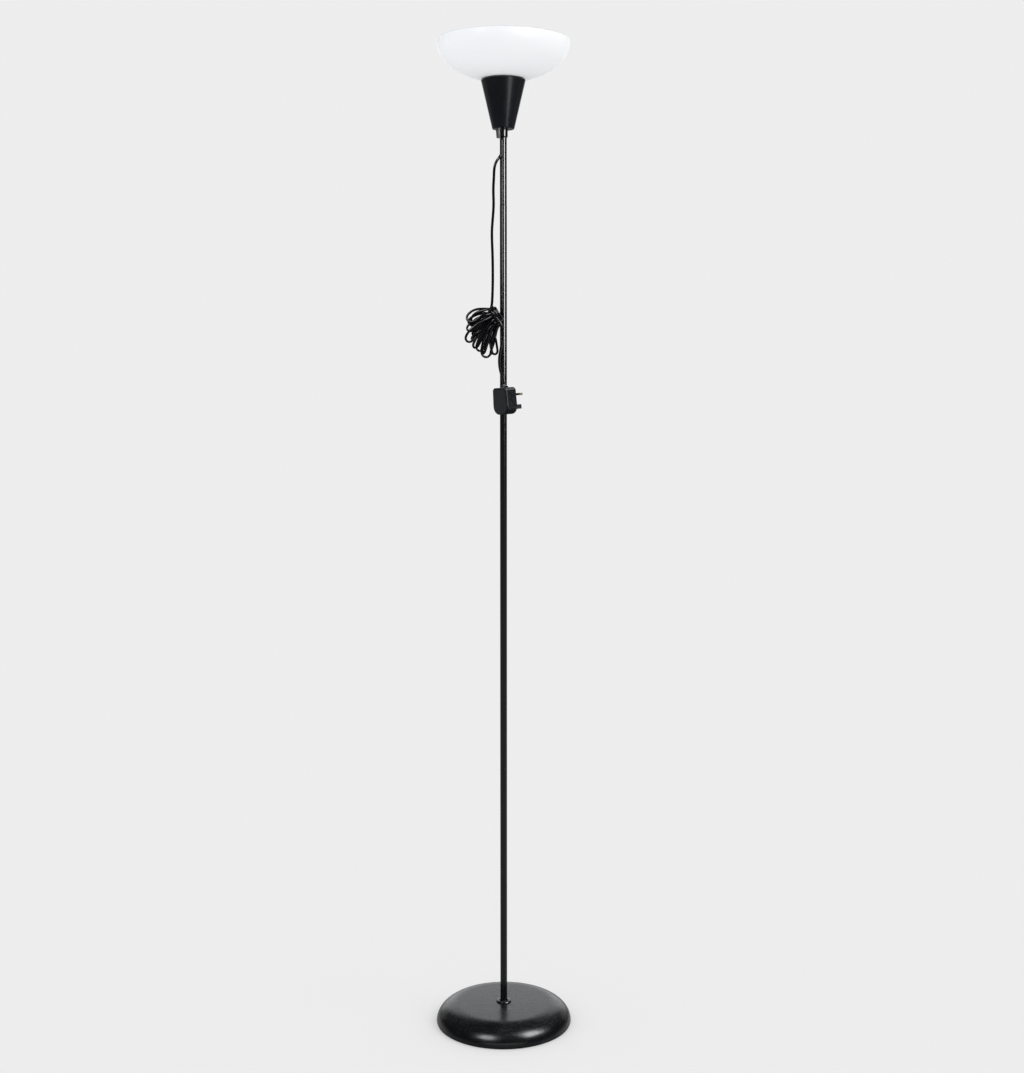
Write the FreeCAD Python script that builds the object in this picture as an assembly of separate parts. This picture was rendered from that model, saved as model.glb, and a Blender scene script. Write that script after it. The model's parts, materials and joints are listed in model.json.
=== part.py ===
"""Torchiere floor lamp: weighted round base, three-piece pole, conical head and opal bowl.

Millimetres, +Z up. The origin is on the floor, on the axis of the pole. The lamp is seen
from -Y in its usual front view, with +X to the right.
"""
import FreeCAD, Part
import math
import os

V = FreeCAD.Vector
UP = V(0, 0, 1)

# ---------------------------------------------------------------- driving dimensions
TOTAL_HEIGHT = 1800.0      # floor to the rim of the bowl

BASE_RADIUS = 126.5
BASE_HEIGHT = 38.0
BASE_FLAT_RADIUS = 82.0    # nearly flat crown, inside the rounded shoulder
BASE_CROWN_DROP = 0.8      # how far the crown falls from the pole to the shoulder
BASE_SKIRT = 3.2           # height where the shoulder is widest
BASE_WALL = 2.2
BASE_LIFT = 1.0            # gap between the cover's edge and the floor
BASE_RIBS = 6
PLATE_BOTTOM = 1.6
PLATE_THICKNESS = 1.6
WEIGHT_RADIUS = 110.0
WEIGHT_TOP = 13.2
POCKET_RADIUS = 17.0       # room under the weight for the washer and nut
POCKET_TOP = 9.0
FOOT_COUNT = 5
FOOT_RADIUS = 9.0
FOOT_RING = 104.0

TUBE_RADIUS = 6.35
TUBE_WALL = 1.0
STUB_RADIUS = 6.2          # the short head tube is a little thinner
STUB_WALL = 1.2
THREAD_RADIUS = 4.0        # studs that join the tubes
TUBE_CHAMFER = 0.4
COLLAR_RADIUS = 14.0
POLE_FOOT = BASE_HEIGHT + 3.0
LOWER_JOINT = 486.0
MIDDLE_JOINT = 936.0
UPPER_JOINT = 1516.0
JOINT_DEPTH = 16.0         # how far a stud reaches into each tube

CUP_BOTTOM = 1648.0
CUP_TOP = 1733.9
CUP_BOTTOM_RADIUS = 19.6
CUP_TOP_RADIUS = 40.1
CUP_WALL = 2.0
CUP_FLOOR = 3.0
CUP_LIP_RADIUS = 30.0      # opening inside the lip that carries the bowl
CUP_RIM_HEIGHT = 2.2       # sloping rim outside the lip
CUP_RIM_WIDTH = 1.4
CUP_FOOT_BEVEL = 0.6
FERRULE_RADIUS = 8.0
FERRULE_LENGTH = 15.0
NIPPLE_RADIUS = STUB_RADIUS - STUB_WALL
NIPPLE_BORE = 3.4
NIPPLE_TOP = 1681.0

BOWL_RADIUS = 118.3
BOWL_DEPTH = 67.4          # semi-axis of the bowl's elliptical section
BOWL_WALL = 2.6
BOWL_HOLE = 20.5

HOLDER_BOTTOM = 1675.0
HOLDER_SPLIT = 1688.0      # cap and body screw together here
HOLDER_RADIUS = 18.5
HOLDER_WALL = 2.2
SKIRT_RADIUS = 19.8
HOLDER_TOP = 1745.0
SHELL_RADIUS = 14.6        # screw shell, outside
SHELL_WALL = 0.5
BLOCK_TOP = 1696.0

BULB_TIP = 1698.6
CAP_RADIUS = 13.1
CAP_TOP = 1725.0
GLOBE_RADIUS = 22.5
GLOBE_CENTRE = 1765.0
NECK_RADIUS = 13.2
GLOBE_WALL = 1.2

SWITCH_X = -8.4            # axis of the rotary switch, beside the pole
SWITCH_Y = -10.3
SHAFT_RADIUS = 1.9
SHAFT_FIT = 0.05           # running clearance of the shaft
KNOB_BOTTOM = 1631.0
KNOB_TOP = 1645.2
KNOB_RADIUS = 4.6
KNOB_FLUTES = 12
KNOB_BORE_DEPTH = 3.0      # wall left below the shaft
SWITCH_RADIUS = 6.5
SWITCH_BOTTOM = 1657.0
SWITCH_TOP = 1671.0
SWITCH_NECK_RADIUS = 3.2
SWITCH_NECK_BOTTOM = 1645.6
SHAFT_TOP = 1666.0
LEAD_RADIUS = 0.9

CORD_DIAMETER = 4.8        # width of the flat twin cord
GLAND_CENTRE = V(0, 0, 1606.0)
GLAND_AXIS = V(-0.52, -0.575, -0.632)
GLAND_RADIUS = 3.7

PLUG_CENTRE = V(3.1, -34.0, 1167.2)
PLUG_TURN = 36.0           # degrees that the pins point round from +X towards +Y
PLUG_TIP = 4.0             # degrees that the plug hangs askew, pins up
PLUG_WIDTH = 46.0
PLUG_HEIGHT = 48.0
PLUG_DEPTH = 24.4
PLUG_TAPER = 2.5           # how much each side narrows towards the cord
PLUG_CORD_CORNER = 6.0     # corner radii of the outline
PLUG_EARTH_CORNER = 15.0
PLUG_BACK_EDGE = 3.5       # rounding of the back and of the pin face
PLUG_PIN_EDGE = 4.5
PLUG_SEAM = 0.5
PLUG_WALL = 2.4
PIN_SPACING = 22.2
PIN_ROW = 10.5             # live and neutral pins, above the plug's middle
EARTH_ROW = -11.9
PIN_ROOT = 7.0             # how far each pin reaches into the plug
PIN_LENGTH = 17.7
PIN_HALF_WIDTH = 3.175
PIN_HALF_THICKNESS = 2.0
SLEEVE_LENGTH = 9.5
SLEEVE_WALL = 0.35
EARTH_LENGTH = 22.7
EARTH_HALF_WIDTH = 2.0
EARTH_HALF_HEIGHT = 4.0
FUSE_RADIUS = 3.1
FUSE_LENGTH = 24.0
FUSE_DEPTH = 6.9           # middle of the fuse behind the pin face
LID_HALF_LENGTH = 15.0     # seat of the fuse carrier
LID_HALF_HEIGHT = 4.2
LID_DEPTH = 3.0

# Cord, from the gland to the hank, then from the hank to the plug
GLAND_END = GLAND_CENTRE + GLAND_AXIS * 13.0
CORD_UPPER_ROUTE = [
    GLAND_END,
    V(-11.6, -12.8, 1592.2),
    V(-16.0, -17.0, 1579.5),
    V(-16.7, -17.2, 1560.0),
    V(-17.9, -17.2, 1540.0),
    V(-16.8, -17.8, 1512.0),
    V(-19.4, -18.0, 1482.0),
    V(-20.6, -18.5, 1462.0),
    V(-19.0, -19.0, 1425.0),
    V(-18.6, -19.4, 1385.0),
    V(-19.4, -19.6, 1352.0),
    V(-20.8, -20.2, 1333.0),
]
CORD_TAIL_ROUTE = [
    V(-10.5, -37.0, 1311.0),
    V(-4.5, -40.0, 1304.0),
    V(-0.6, -41.5, 1292.0),
    V(-0.6, -42.0, 1278.0),
    V(-4.2, -42.0, 1261.0),
    V(-7.6, -41.0, 1244.0),
    V(-7.2, -39.2, 1228.0),
    V(-3.6, -36.5, 1213.0),
    V(-0.3, -34.6, 1205.0),
    V(1.0, -34.0, 1197.1),
]
# Outline of the hank, seen from the front: (x, z), clockwise from its tied corner
HANK_OUTLINE = [(-3.0, 1322.0), (-9.0, 1333.0), (-32.0, 1333.0), (-57.0, 1326.0), (-69.5, 1307.0),
                (-70.5, 1275.0), (-58.0, 1255.0), (-36.0, 1241.0), (-14.0, 1241.0), (-3.0, 1268.0)]
HANK_FRONT = -37.0
HANK_BACK = -11.0
HANK_CORNER = 7.0


# ---------------------------------------------------------------- geometry helpers
def line(start, end):
    """Straight profile edge between two (radius, height) points."""
    return Part.LineSegment(V(start[0], 0, start[1]), V(end[0], 0, end[1])).toShape()


def arc(start, middle, end):
    """Profile arc through three (radius, height) points."""
    return Part.Arc(*[V(r, 0, z) for r, z in (start, middle, end)]).toShape()


def ellipse_arc(centre, semi_r, semi_z, first, last):
    """Profile arc of an ellipse, between two angles measured from the radial axis."""
    middle = V(centre[0], 0, centre[1])
    ellipse = Part.Ellipse(middle + V(semi_r, 0, 0), middle + V(0, 0, semi_z), middle)
    return Part.ArcOfEllipse(ellipse, math.radians(first), math.radians(last)).toShape()


def chain(points):
    """Straight profile edges through a list of points."""
    return [line(a, b) for a, b in zip(points, points[1:])]


def lathe(edges):
    """Solid of revolution about the lamp's axis from a closed profile."""
    face = Part.Face(Part.Wire(Part.__sortEdges__(edges)))
    solid = face.revolve(V(0, 0, 0), UP, 360)
    return Part.makeSolid(solid) if solid.ShapeType != "Solid" else solid


def turned(points):
    """Solid of revolution from a closed polygon of (radius, height) points."""
    return lathe(chain(list(points) + [points[0]]))


def rod(radius, bottom, top, x=0.0, y=0.0):
    return Part.makeCylinder(radius, top - bottom, V(x, y, bottom), UP)


def pipe(outer, inner, bottom, top, x=0.0, y=0.0):
    return rod(outer, bottom, top, x, y).cut(rod(inner, bottom - 1, top + 1, x, y))


def hexagon(across, bottom, top, x=0.0, y=0.0):
    """Hexagonal prism, sized across its flats."""
    corner = across / math.sqrt(3.0)
    ring = [V(x + corner * math.cos(math.radians(60 * i)),
              y + corner * math.sin(math.radians(60 * i)), bottom) for i in range(7)]
    ring[6] = ring[0]
    return Part.Face(Part.makePolygon(ring)).extrude(V(0, 0, top - bottom))


def box(low, high):
    return Part.makeBox(high[0] - low[0], high[1] - low[1], high[2] - low[2], V(*low))


def edges_along(solid, direction):
    """Straight edges of a solid that run parallel to a direction."""
    found = []
    for edge in solid.Edges:
        if edge.Curve.TypeId != "Part::GeomLine":
            continue
        if edge.Curve.Direction.cross(direction).Length < 1e-6:
            found.append(edge)
    return found


def edges_in_plane(solid, axis, value):
    """Edges whose whole length lies in the plane where one coordinate has one value."""
    found = []
    for edge in solid.Edges:
        low = getattr(edge.BoundBox, axis + "Min")
        high = getattr(edge.BoundBox, axis + "Max")
        if abs(low - value) < 1e-3 and abs(high - value) < 1e-3:
            found.append(edge)
    return found


def export(name, *solids):
    shape = solids[0] if len(solids) == 1 else Part.makeCompound(list(solids))
    shape.exportStep("parts/%s.step" % name)


# ---------------------------------------------------------------- base
def base_section(inset, bottom, top_hole):
    """Outer half-section of the domed base, moved inwards by an inset."""
    flat = BASE_FLAT_RADIUS
    centre = (flat, BASE_SKIRT)
    semi_r = BASE_RADIUS - flat - inset
    semi_z = BASE_HEIGHT - BASE_CROWN_DROP - BASE_SKIRT - inset
    shoulder = BASE_HEIGHT - BASE_CROWN_DROP - inset
    crown = BASE_HEIGHT - inset
    half_drop = BASE_CROWN_DROP * 0.3
    edges = [arc((top_hole, crown), (flat * 0.55, crown - half_drop), (flat, shoulder)),
             ellipse_arc(centre, semi_r, semi_z, 0, 90)]
    if bottom < BASE_SKIRT:
        edges.append(line((flat + semi_r, BASE_SKIRT), (flat + semi_r - 0.8, bottom)))
    return edges


def base_cover():
    """Moulded dome, open underneath; its boss and ribs stand on the weight."""
    hole = THREAD_RADIUS + 0.3
    boss_radius = 11.0
    outer = base_section(0.0, BASE_LIFT, hole)
    inner = base_section(BASE_WALL, BASE_LIFT, boss_radius)
    boss = chain([(boss_radius, BASE_HEIGHT - BASE_WALL), (boss_radius, WEIGHT_TOP),
                  (hole, WEIGHT_TOP), (hole, BASE_HEIGHT)])
    edge = [line((BASE_RADIUS - 0.8, BASE_LIFT), (BASE_RADIUS - BASE_WALL - 0.8, BASE_LIFT))]
    cover = lathe(outer + inner + boss + edge)
    for i in range(BASE_RIBS):
        rib = box((boss_radius - 1.0, -1.0, WEIGHT_TOP),
                  (BASE_FLAT_RADIUS, 1.0, BASE_HEIGHT - BASE_WALL / 2 - BASE_CROWN_DROP))
        rib.rotate(V(0, 0, 0), UP, 360.0 * i / BASE_RIBS)
        cover = cover.fuse(rib)
    return cover.removeSplitter()


def base_weight():
    """Cast iron disc that steadies the lamp, with a bevelled edge and a pocket for the nut."""
    bottom = PLATE_BOTTOM + PLATE_THICKNESS
    bore = THREAD_RADIUS + 1.0
    bevel = 2.0
    return turned([(bore, WEIGHT_TOP), (WEIGHT_RADIUS - bevel, WEIGHT_TOP),
                   (WEIGHT_RADIUS, WEIGHT_TOP - bevel), (WEIGHT_RADIUS, bottom),
                   (POCKET_RADIUS, bottom), (POCKET_RADIUS, POCKET_TOP), (bore, POCKET_TOP)])


def base_plate():
    """Thin disc that closes the dome from below."""
    return pipe(BASE_RADIUS - BASE_WALL - 1.6, 14.0, PLATE_BOTTOM, PLATE_BOTTOM + PLATE_THICKNESS)


def base_feet():
    feet = []
    for i in range(FOOT_COUNT):
        angle = 2 * math.pi * (i + 0.25) / FOOT_COUNT
        feet.append(rod(FOOT_RADIUS, 0.0, PLATE_BOTTOM,
                        FOOT_RING * math.cos(angle), FOOT_RING * math.sin(angle)))
    return feet


def base_stud():
    """Threaded rod from the pocket under the weight up into the pole."""
    return rod(THREAD_RADIUS, PLATE_BOTTOM + PLATE_THICKNESS + 0.2, POLE_FOOT + JOINT_DEPTH)


def base_washer():
    return pipe(15.0, THREAD_RADIUS + 0.3, POCKET_TOP - 1.6, POCKET_TOP)


def base_nut():
    """Thin hexagonal nut under the washer."""
    nut = hexagon(13.0, POCKET_TOP - 5.6, POCKET_TOP - 1.6)
    return nut.cut(rod(THREAD_RADIUS, 0.0, POCKET_TOP))


def foot_collar():
    """Dished washer with a lip that the pole stands in."""
    return turned([(THREAD_RADIUS + 0.2, BASE_HEIGHT), (COLLAR_RADIUS, BASE_HEIGHT),
                   (COLLAR_RADIUS, BASE_HEIGHT + 1.4), (COLLAR_RADIUS - 0.9, BASE_HEIGHT + 2.4),
                   (TUBE_RADIUS + 1.6, POLE_FOOT + 0.4), (TUBE_RADIUS + 1.4, POLE_FOOT + 2.4),
                   (TUBE_RADIUS + 0.05, POLE_FOOT + 2.4), (TUBE_RADIUS + 0.05, POLE_FOOT),
                   (THREAD_RADIUS + 0.2, POLE_FOOT)])


# ---------------------------------------------------------------- pole
def pole_tube(radius, wall, bottom, top):
    """Tube whose outer edges are broken, so that each joint shows as a fine groove."""
    cut = TUBE_CHAMFER
    return turned([(radius - wall, bottom), (radius - cut, bottom), (radius, bottom + cut),
                   (radius, top - cut), (radius - cut, top), (radius - wall, top)])


def joint_bush(radius, bottom):
    """Threaded bush pressed into the foot of a tube."""
    return pipe(radius, THREAD_RADIUS, bottom + 0.2, bottom + JOINT_DEPTH + 2.0)


def joint_stud(radius, level):
    """Stud pressed into the top of the tube below, screwed into the bush above."""
    lower = rod(radius, level - JOINT_DEPTH, level)
    return lower.fuse(rod(THREAD_RADIUS, level, level + JOINT_DEPTH)).removeSplitter()


def head_tube():
    """Short tube that carries the head, with the slanting hole for the cord's gland."""
    tube = pole_tube(STUB_RADIUS, STUB_WALL, UPPER_JOINT, CUP_BOTTOM)
    hole = Part.makeCylinder(GLAND_RADIUS - 1.0, 12.0, GLAND_CENTRE, GLAND_AXIS)
    return tube.cut(hole)


def cord_gland():
    """Moulded bush that lines the hole; its flange stands proud of the tube."""
    sleeve = Part.makeCylinder(GLAND_RADIUS - 1.0, 10.0, GLAND_CENTRE + GLAND_AXIS * 3.0, GLAND_AXIS)
    flange = Part.makeCone(GLAND_RADIUS, GLAND_RADIUS - 0.9, 6.0,
                           GLAND_CENTRE + GLAND_AXIS * 7.0, GLAND_AXIS)
    body = sleeve.fuse(flange.cut(rod(STUB_RADIUS, 1580.0, 1630.0)))
    inside = rod(STUB_RADIUS - STUB_WALL, 1580.0, 1630.0)
    outside = body.cut(rod(STUB_RADIUS, 1580.0, 1630.0))
    neck = sleeve.common(rod(STUB_RADIUS, 1580.0, 1630.0)).cut(inside)
    return outside.fuse(neck).removeSplitter()


# ---------------------------------------------------------------- head
def head_cup():
    """Conical cup: floor with two holes, slanting wall and an inward lip for the bowl."""
    slope = (CUP_TOP_RADIUS - CUP_BOTTOM_RADIUS) / (CUP_TOP - CUP_BOTTOM)
    floor = CUP_BOTTOM + CUP_FLOOR
    inner_low = CUP_BOTTOM_RADIUS + slope * CUP_FLOOR - CUP_WALL
    lip_low = CUP_TOP - 2.0
    inner_high = CUP_TOP_RADIUS - slope * 2.0 - CUP_WALL
    bevel = CUP_FOOT_BEVEL
    cup = turned([(NIPPLE_RADIUS + 0.1, CUP_BOTTOM), (CUP_BOTTOM_RADIUS - bevel, CUP_BOTTOM),
                  (CUP_BOTTOM_RADIUS + bevel * slope, CUP_BOTTOM + bevel),
                  (CUP_TOP_RADIUS - CUP_RIM_HEIGHT * slope, CUP_TOP - CUP_RIM_HEIGHT),
                  (CUP_TOP_RADIUS - CUP_RIM_WIDTH, CUP_TOP), (CUP_LIP_RADIUS, CUP_TOP),
                  (CUP_LIP_RADIUS, lip_low), (inner_high, lip_low), (inner_low, floor),
                  (NIPPLE_RADIUS + 0.1, floor)])
    return cup.cut(rod(SWITCH_NECK_RADIUS + 0.1, CUP_BOTTOM - 1, floor + 1, SWITCH_X, SWITCH_Y))


def neck_ferrule():
    """Sleeve round the top of the head tube, tight under the cup."""
    bottom = CUP_BOTTOM - FERRULE_LENGTH
    bevel = 1.2
    bore = STUB_RADIUS + 0.02
    return turned([(bore, bottom), (FERRULE_RADIUS - bevel, bottom),
                   (FERRULE_RADIUS, bottom + bevel * 1.6), (FERRULE_RADIUS, CUP_BOTTOM),
                   (bore, CUP_BOTTOM)])


def head_nipple():
    """Hollow threaded tube that clamps the head; the leads run up through it."""
    return pipe(NIPPLE_RADIUS, NIPPLE_BORE, CUP_BOTTOM - 22.0, NIPPLE_TOP)


def head_nut():
    nut = hexagon(14.0, CUP_BOTTOM + CUP_FLOOR, CUP_BOTTOM + CUP_FLOOR + 4.0)
    return nut.cut(rod(NIPPLE_RADIUS, CUP_BOTTOM, CUP_BOTTOM + 20.0))


def lampholder_cap():
    """Lower half of the lampholder, screwed on the nipple."""
    inner = HOLDER_RADIUS - HOLDER_WALL
    cap = turned([(NIPPLE_RADIUS, HOLDER_BOTTOM), (9.0, HOLDER_BOTTOM), (9.6, HOLDER_BOTTOM + 4.0),
                  (HOLDER_RADIUS, HOLDER_BOTTOM + 9.0), (HOLDER_RADIUS, HOLDER_SPLIT),
                  (inner, HOLDER_SPLIT), (inner, HOLDER_BOTTOM + 10.5), (9.6, NIPPLE_TOP),
                  (NIPPLE_RADIUS, NIPPLE_TOP)])
    for lead_x, lead_y in switch_lead_places():
        cap = cap.cut(rod(1.2, HOLDER_BOTTOM, HOLDER_SPLIT, lead_x, lead_y))
    return cap


def lampholder_body():
    """Upper half: barrel, flange under the bowl and the ribbed skirt for the ring."""
    inner = HOLDER_RADIUS - HOLDER_WALL
    flange = CUP_TOP - 3.0
    points = [(inner, HOLDER_SPLIT), (HOLDER_RADIUS, HOLDER_SPLIT), (HOLDER_RADIUS, flange),
              (24.0, flange), (24.0, CUP_TOP), (SKIRT_RADIUS, CUP_TOP)]
    level = CUP_TOP + BOWL_WALL
    while level < HOLDER_TOP - 1.6:
        points += [(SKIRT_RADIUS, level), (SKIRT_RADIUS - 0.4, level + 0.5),
                   (SKIRT_RADIUS - 0.4, level + 0.9)]
        level += 1.4
    points += [(SKIRT_RADIUS - 0.4, HOLDER_TOP), (inner, HOLDER_TOP)]
    return turned(points)


def contact_block():
    """Ceramic disc inside the lampholder that carries the contacts."""
    block = rod(HOLDER_RADIUS - HOLDER_WALL - 0.1, HOLDER_SPLIT, BLOCK_TOP)
    for side in (-1, 1):
        block = block.cut(rod(2.2, HOLDER_SPLIT - 1, HOLDER_SPLIT + 4.0, side * 9.0, 0.0))
    return block


def screw_shell():
    """Thin metal shell with rolled ridges, pressed in the lampholder."""
    outer = [(SHELL_RADIUS, BLOCK_TOP)]
    level = BLOCK_TOP + 4.0
    while level < HOLDER_TOP - 8.0:
        outer += [(SHELL_RADIUS, level), (SHELL_RADIUS - 0.45, level + 1.8)]
        level += 3.6
    outer += [(SHELL_RADIUS, level), (SHELL_RADIUS, HOLDER_TOP - 2.0)]
    inner = [(r - SHELL_WALL, z) for r, z in reversed(outer)]
    return turned(outer + inner)


def centre_contact():
    """Springy tongue that meets the tip of the bulb."""
    strip = box((-3.0, -9.0, BLOCK_TOP), (3.0, 9.0, BLOCK_TOP + 0.6))
    button = Part.makeCone(3.4, 2.6, 1.2, V(0, 0, BLOCK_TOP + 0.6), UP)
    return strip.fuse(button).removeSplitter()


def terminal_screws():
    screws = []
    for side in (-1, 1):
        head = rod(2.0, HOLDER_SPLIT + 2.0, HOLDER_SPLIT + 4.0, side * 9.0, 0.0)
        slot = box((side * 9.0 - 0.4, -3.0, HOLDER_SPLIT + 1.0),
                   (side * 9.0 + 0.4, 3.0, HOLDER_SPLIT + 2.8))
        screws.append(head.cut(slot))
    return screws


def shade_ring():
    """Ribbed ring screwed on the lampholder, which clamps the bowl."""
    bottom = CUP_TOP + BOWL_WALL
    ring = turned([(SKIRT_RADIUS + 0.02, bottom), (28.0, bottom), (28.0, bottom + 1.8),
                   (24.0, bottom + 2.6), (23.4, bottom + 6.4), (SKIRT_RADIUS + 0.02, bottom + 6.4)])
    for i in range(24):
        angle = math.radians(15 * i)
        ring = ring.cut(rod(0.8, bottom + 2.7, bottom + 8.0,
                            23.9 * math.cos(angle), 23.9 * math.sin(angle)))
    return ring


def shade_bowl():
    """Opal bowl: elliptical section, flat seat with a hole, rounded lip."""
    centre = (0.0, TOTAL_HEIGHT - BOWL_WALL / 2)
    inner_r = BOWL_RADIUS - BOWL_WALL
    inner_d = BOWL_DEPTH - BOWL_WALL
    seat_top = CUP_TOP + BOWL_WALL
    outer_angle = -math.degrees(math.asin((centre[1] - CUP_TOP) / BOWL_DEPTH))
    inner_angle = -math.degrees(math.asin((centre[1] - seat_top) / inner_d))
    outer_seat = BOWL_RADIUS * math.cos(math.radians(outer_angle))
    inner_seat = inner_r * math.cos(math.radians(inner_angle))
    edges = [ellipse_arc(centre, BOWL_RADIUS, BOWL_DEPTH, outer_angle, 0),
             ellipse_arc(centre, inner_r, inner_d, inner_angle, 0),
             arc((BOWL_RADIUS, centre[1]), (BOWL_RADIUS - BOWL_WALL / 2, TOTAL_HEIGHT),
                 (inner_r, centre[1]))]
    edges += chain([(inner_seat, seat_top), (BOWL_HOLE, seat_top), (BOWL_HOLE, CUP_TOP),
                    (outer_seat, CUP_TOP)])
    return lathe(edges)


# ---------------------------------------------------------------- bulb
def bulb_cap():
    """Metal screw cap of the bulb, with a thread of shallow ridges."""
    bottom = BULB_TIP + 3.4
    outer = [(9.4, bottom), (CAP_RADIUS - 0.7, bottom + 1.6)]
    level = bottom + 1.6
    while level < CAP_TOP - 3.6:
        outer += [(CAP_RADIUS, level + 0.9), (CAP_RADIUS - 0.7, level + 2.7)]
        level += 3.6
    outer += [(CAP_RADIUS, CAP_TOP - 0.6), (CAP_RADIUS, CAP_TOP)]
    inner = [(r - 0.4, z) for r, z in reversed(outer)]
    return turned(outer + inner)


def bulb_insulator():
    """Dark glass button at the foot of the cap."""
    return turned([(3.0, BULB_TIP + 0.8), (4.6, BULB_TIP + 0.6), (8.8, BULB_TIP + 3.4),
                   (8.8, BULB_TIP + 5.0), (3.0, BULB_TIP + 5.0)])


def bulb_contact():
    return rod(3.0, BULB_TIP, BULB_TIP + 3.0)


def bulb_housing():
    """Plastic collar between the cap and the globe, with the driver's cavity."""
    seam = GLOBE_CENTRE - math.sqrt(GLOBE_RADIUS ** 2 - NECK_RADIUS ** 2)
    return turned([(10.4, CAP_TOP - 8.0), (11.6, CAP_TOP - 8.0), (11.6, CAP_TOP),
                   (CAP_RADIUS - 0.3, CAP_TOP), (NECK_RADIUS, CAP_TOP + 2.0), (NECK_RADIUS, seam),
                   (12.4, seam), (12.4, CAP_TOP + 2.0), (10.4, CAP_TOP + 2.0)])


def led_board():
    """Round board inside the globe, with a ring of small light emitters."""
    seam = GLOBE_CENTRE - math.sqrt(GLOBE_RADIUS ** 2 - NECK_RADIUS ** 2)
    board = rod(12.3, seam - 1.6, seam)
    for i in range(8):
        angle = math.radians(45 * i)
        board = board.fuse(box((8.6 * math.cos(angle) - 1.2, 8.6 * math.sin(angle) - 1.2, seam),
                               (8.6 * math.cos(angle) + 1.2, 8.6 * math.sin(angle) + 1.2, seam + 0.6)))
    return board.removeSplitter()


def bulb_globe():
    """Opal globe, hollow, open where it sits on the collar."""
    low = -math.degrees(math.acos(NECK_RADIUS / GLOBE_RADIUS))
    inner = GLOBE_RADIUS - GLOBE_WALL
    half = math.radians(low + (90 - low) / 2)
    seam = GLOBE_CENTRE + GLOBE_RADIUS * math.sin(math.radians(low))
    low_inner = -math.degrees(math.asin((GLOBE_CENTRE - seam) / inner))
    half_inner = math.radians(low_inner + (90 - low_inner) / 2)
    inner_foot = inner * math.cos(math.radians(low_inner))
    edges = [arc((NECK_RADIUS, seam),
                 (GLOBE_RADIUS * math.cos(half), GLOBE_CENTRE + GLOBE_RADIUS * math.sin(half)),
                 (0.0, GLOBE_CENTRE + GLOBE_RADIUS)),
             line((0.0, GLOBE_CENTRE + GLOBE_RADIUS), (0.0, GLOBE_CENTRE + inner)),
             arc((0.0, GLOBE_CENTRE + inner),
                 (inner * math.cos(half_inner), GLOBE_CENTRE + inner * math.sin(half_inner)),
                 (inner_foot, seam)),
             line((inner_foot, seam), (NECK_RADIUS, seam))]
    return lathe(edges)


# ---------------------------------------------------------------- switch
def switch_lead_places():
    """Where the two leads of the switch pass through the lampholder's cap."""
    return [(SWITCH_X - 2.4, SWITCH_Y + 1.4), (SWITCH_X + 2.4, SWITCH_Y - 1.4)]


def switch_body():
    """Round rotary switch above the cup's floor, with its threaded neck and shaft bore."""
    body = rod(SWITCH_RADIUS, SWITCH_BOTTOM, SWITCH_TOP, SWITCH_X, SWITCH_Y)
    neck = rod(SWITCH_NECK_RADIUS, SWITCH_NECK_BOTTOM, SWITCH_BOTTOM, SWITCH_X, SWITCH_Y)
    bore = rod(SHAFT_RADIUS + SHAFT_FIT, KNOB_BOTTOM, SHAFT_TOP + 0.4, SWITCH_X, SWITCH_Y)
    return body.fuse(neck).cut(bore).removeSplitter()


def switch_nut():
    nut = hexagon(8.0, CUP_BOTTOM - 2.0, CUP_BOTTOM, SWITCH_X, SWITCH_Y)
    return nut.cut(rod(SWITCH_NECK_RADIUS, KNOB_BOTTOM, SWITCH_BOTTOM, SWITCH_X, SWITCH_Y))


def switch_leads():
    return [rod(LEAD_RADIUS, SWITCH_TOP, HOLDER_SPLIT, x, y) for x, y in switch_lead_places()]


def switch_shaft():
    return rod(SHAFT_RADIUS, KNOB_BOTTOM + KNOB_BORE_DEPTH, SHAFT_TOP, SWITCH_X, SWITCH_Y)


def switch_knob():
    """Tapered fluted knob with a domed end, bored for the shaft."""
    height = KNOB_TOP - KNOB_BOTTOM
    cone = Part.makeCone(KNOB_RADIUS - 1.0, KNOB_RADIUS, height, V(SWITCH_X, SWITCH_Y, KNOB_BOTTOM), UP)
    for i in range(KNOB_FLUTES):
        angle = 2 * math.pi * i / KNOB_FLUTES
        start = V(SWITCH_X + (KNOB_RADIUS - 0.9) * math.cos(angle),
                  SWITCH_Y + (KNOB_RADIUS - 0.9) * math.sin(angle), KNOB_BOTTOM - 1.0)
        end = V(SWITCH_X + (KNOB_RADIUS + 0.3) * math.cos(angle),
                SWITCH_Y + (KNOB_RADIUS + 0.3) * math.sin(angle), KNOB_TOP - 1.8)
        cone = cone.cut(Part.makeCylinder(0.55, (end - start).Length, start, end - start))
    bore = rod(SHAFT_RADIUS, KNOB_BOTTOM + KNOB_BORE_DEPTH, KNOB_TOP + 1.0, SWITCH_X, SWITCH_Y)
    return cone.cut(bore)


def inner_leads():
    """The cord's two cores, from the gland up the nipple to the terminals."""
    leads = []
    for side in (-1, 1):
        route = [V(side * 1.5, 0, 1612.0), V(side * 1.5, 0, 1650.0), V(side * 1.6, 0, 1680.0),
                 V(side * 4.0, 0, 1684.2), V(side * 9.0, 0, 1685.0)]
        leads.append(round_tube(route, 0.9)[0])
        leads.append(rod(0.8, 1685.9, HOLDER_SPLIT + 2.0, side * 8.6, 0.0))
    return leads


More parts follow.
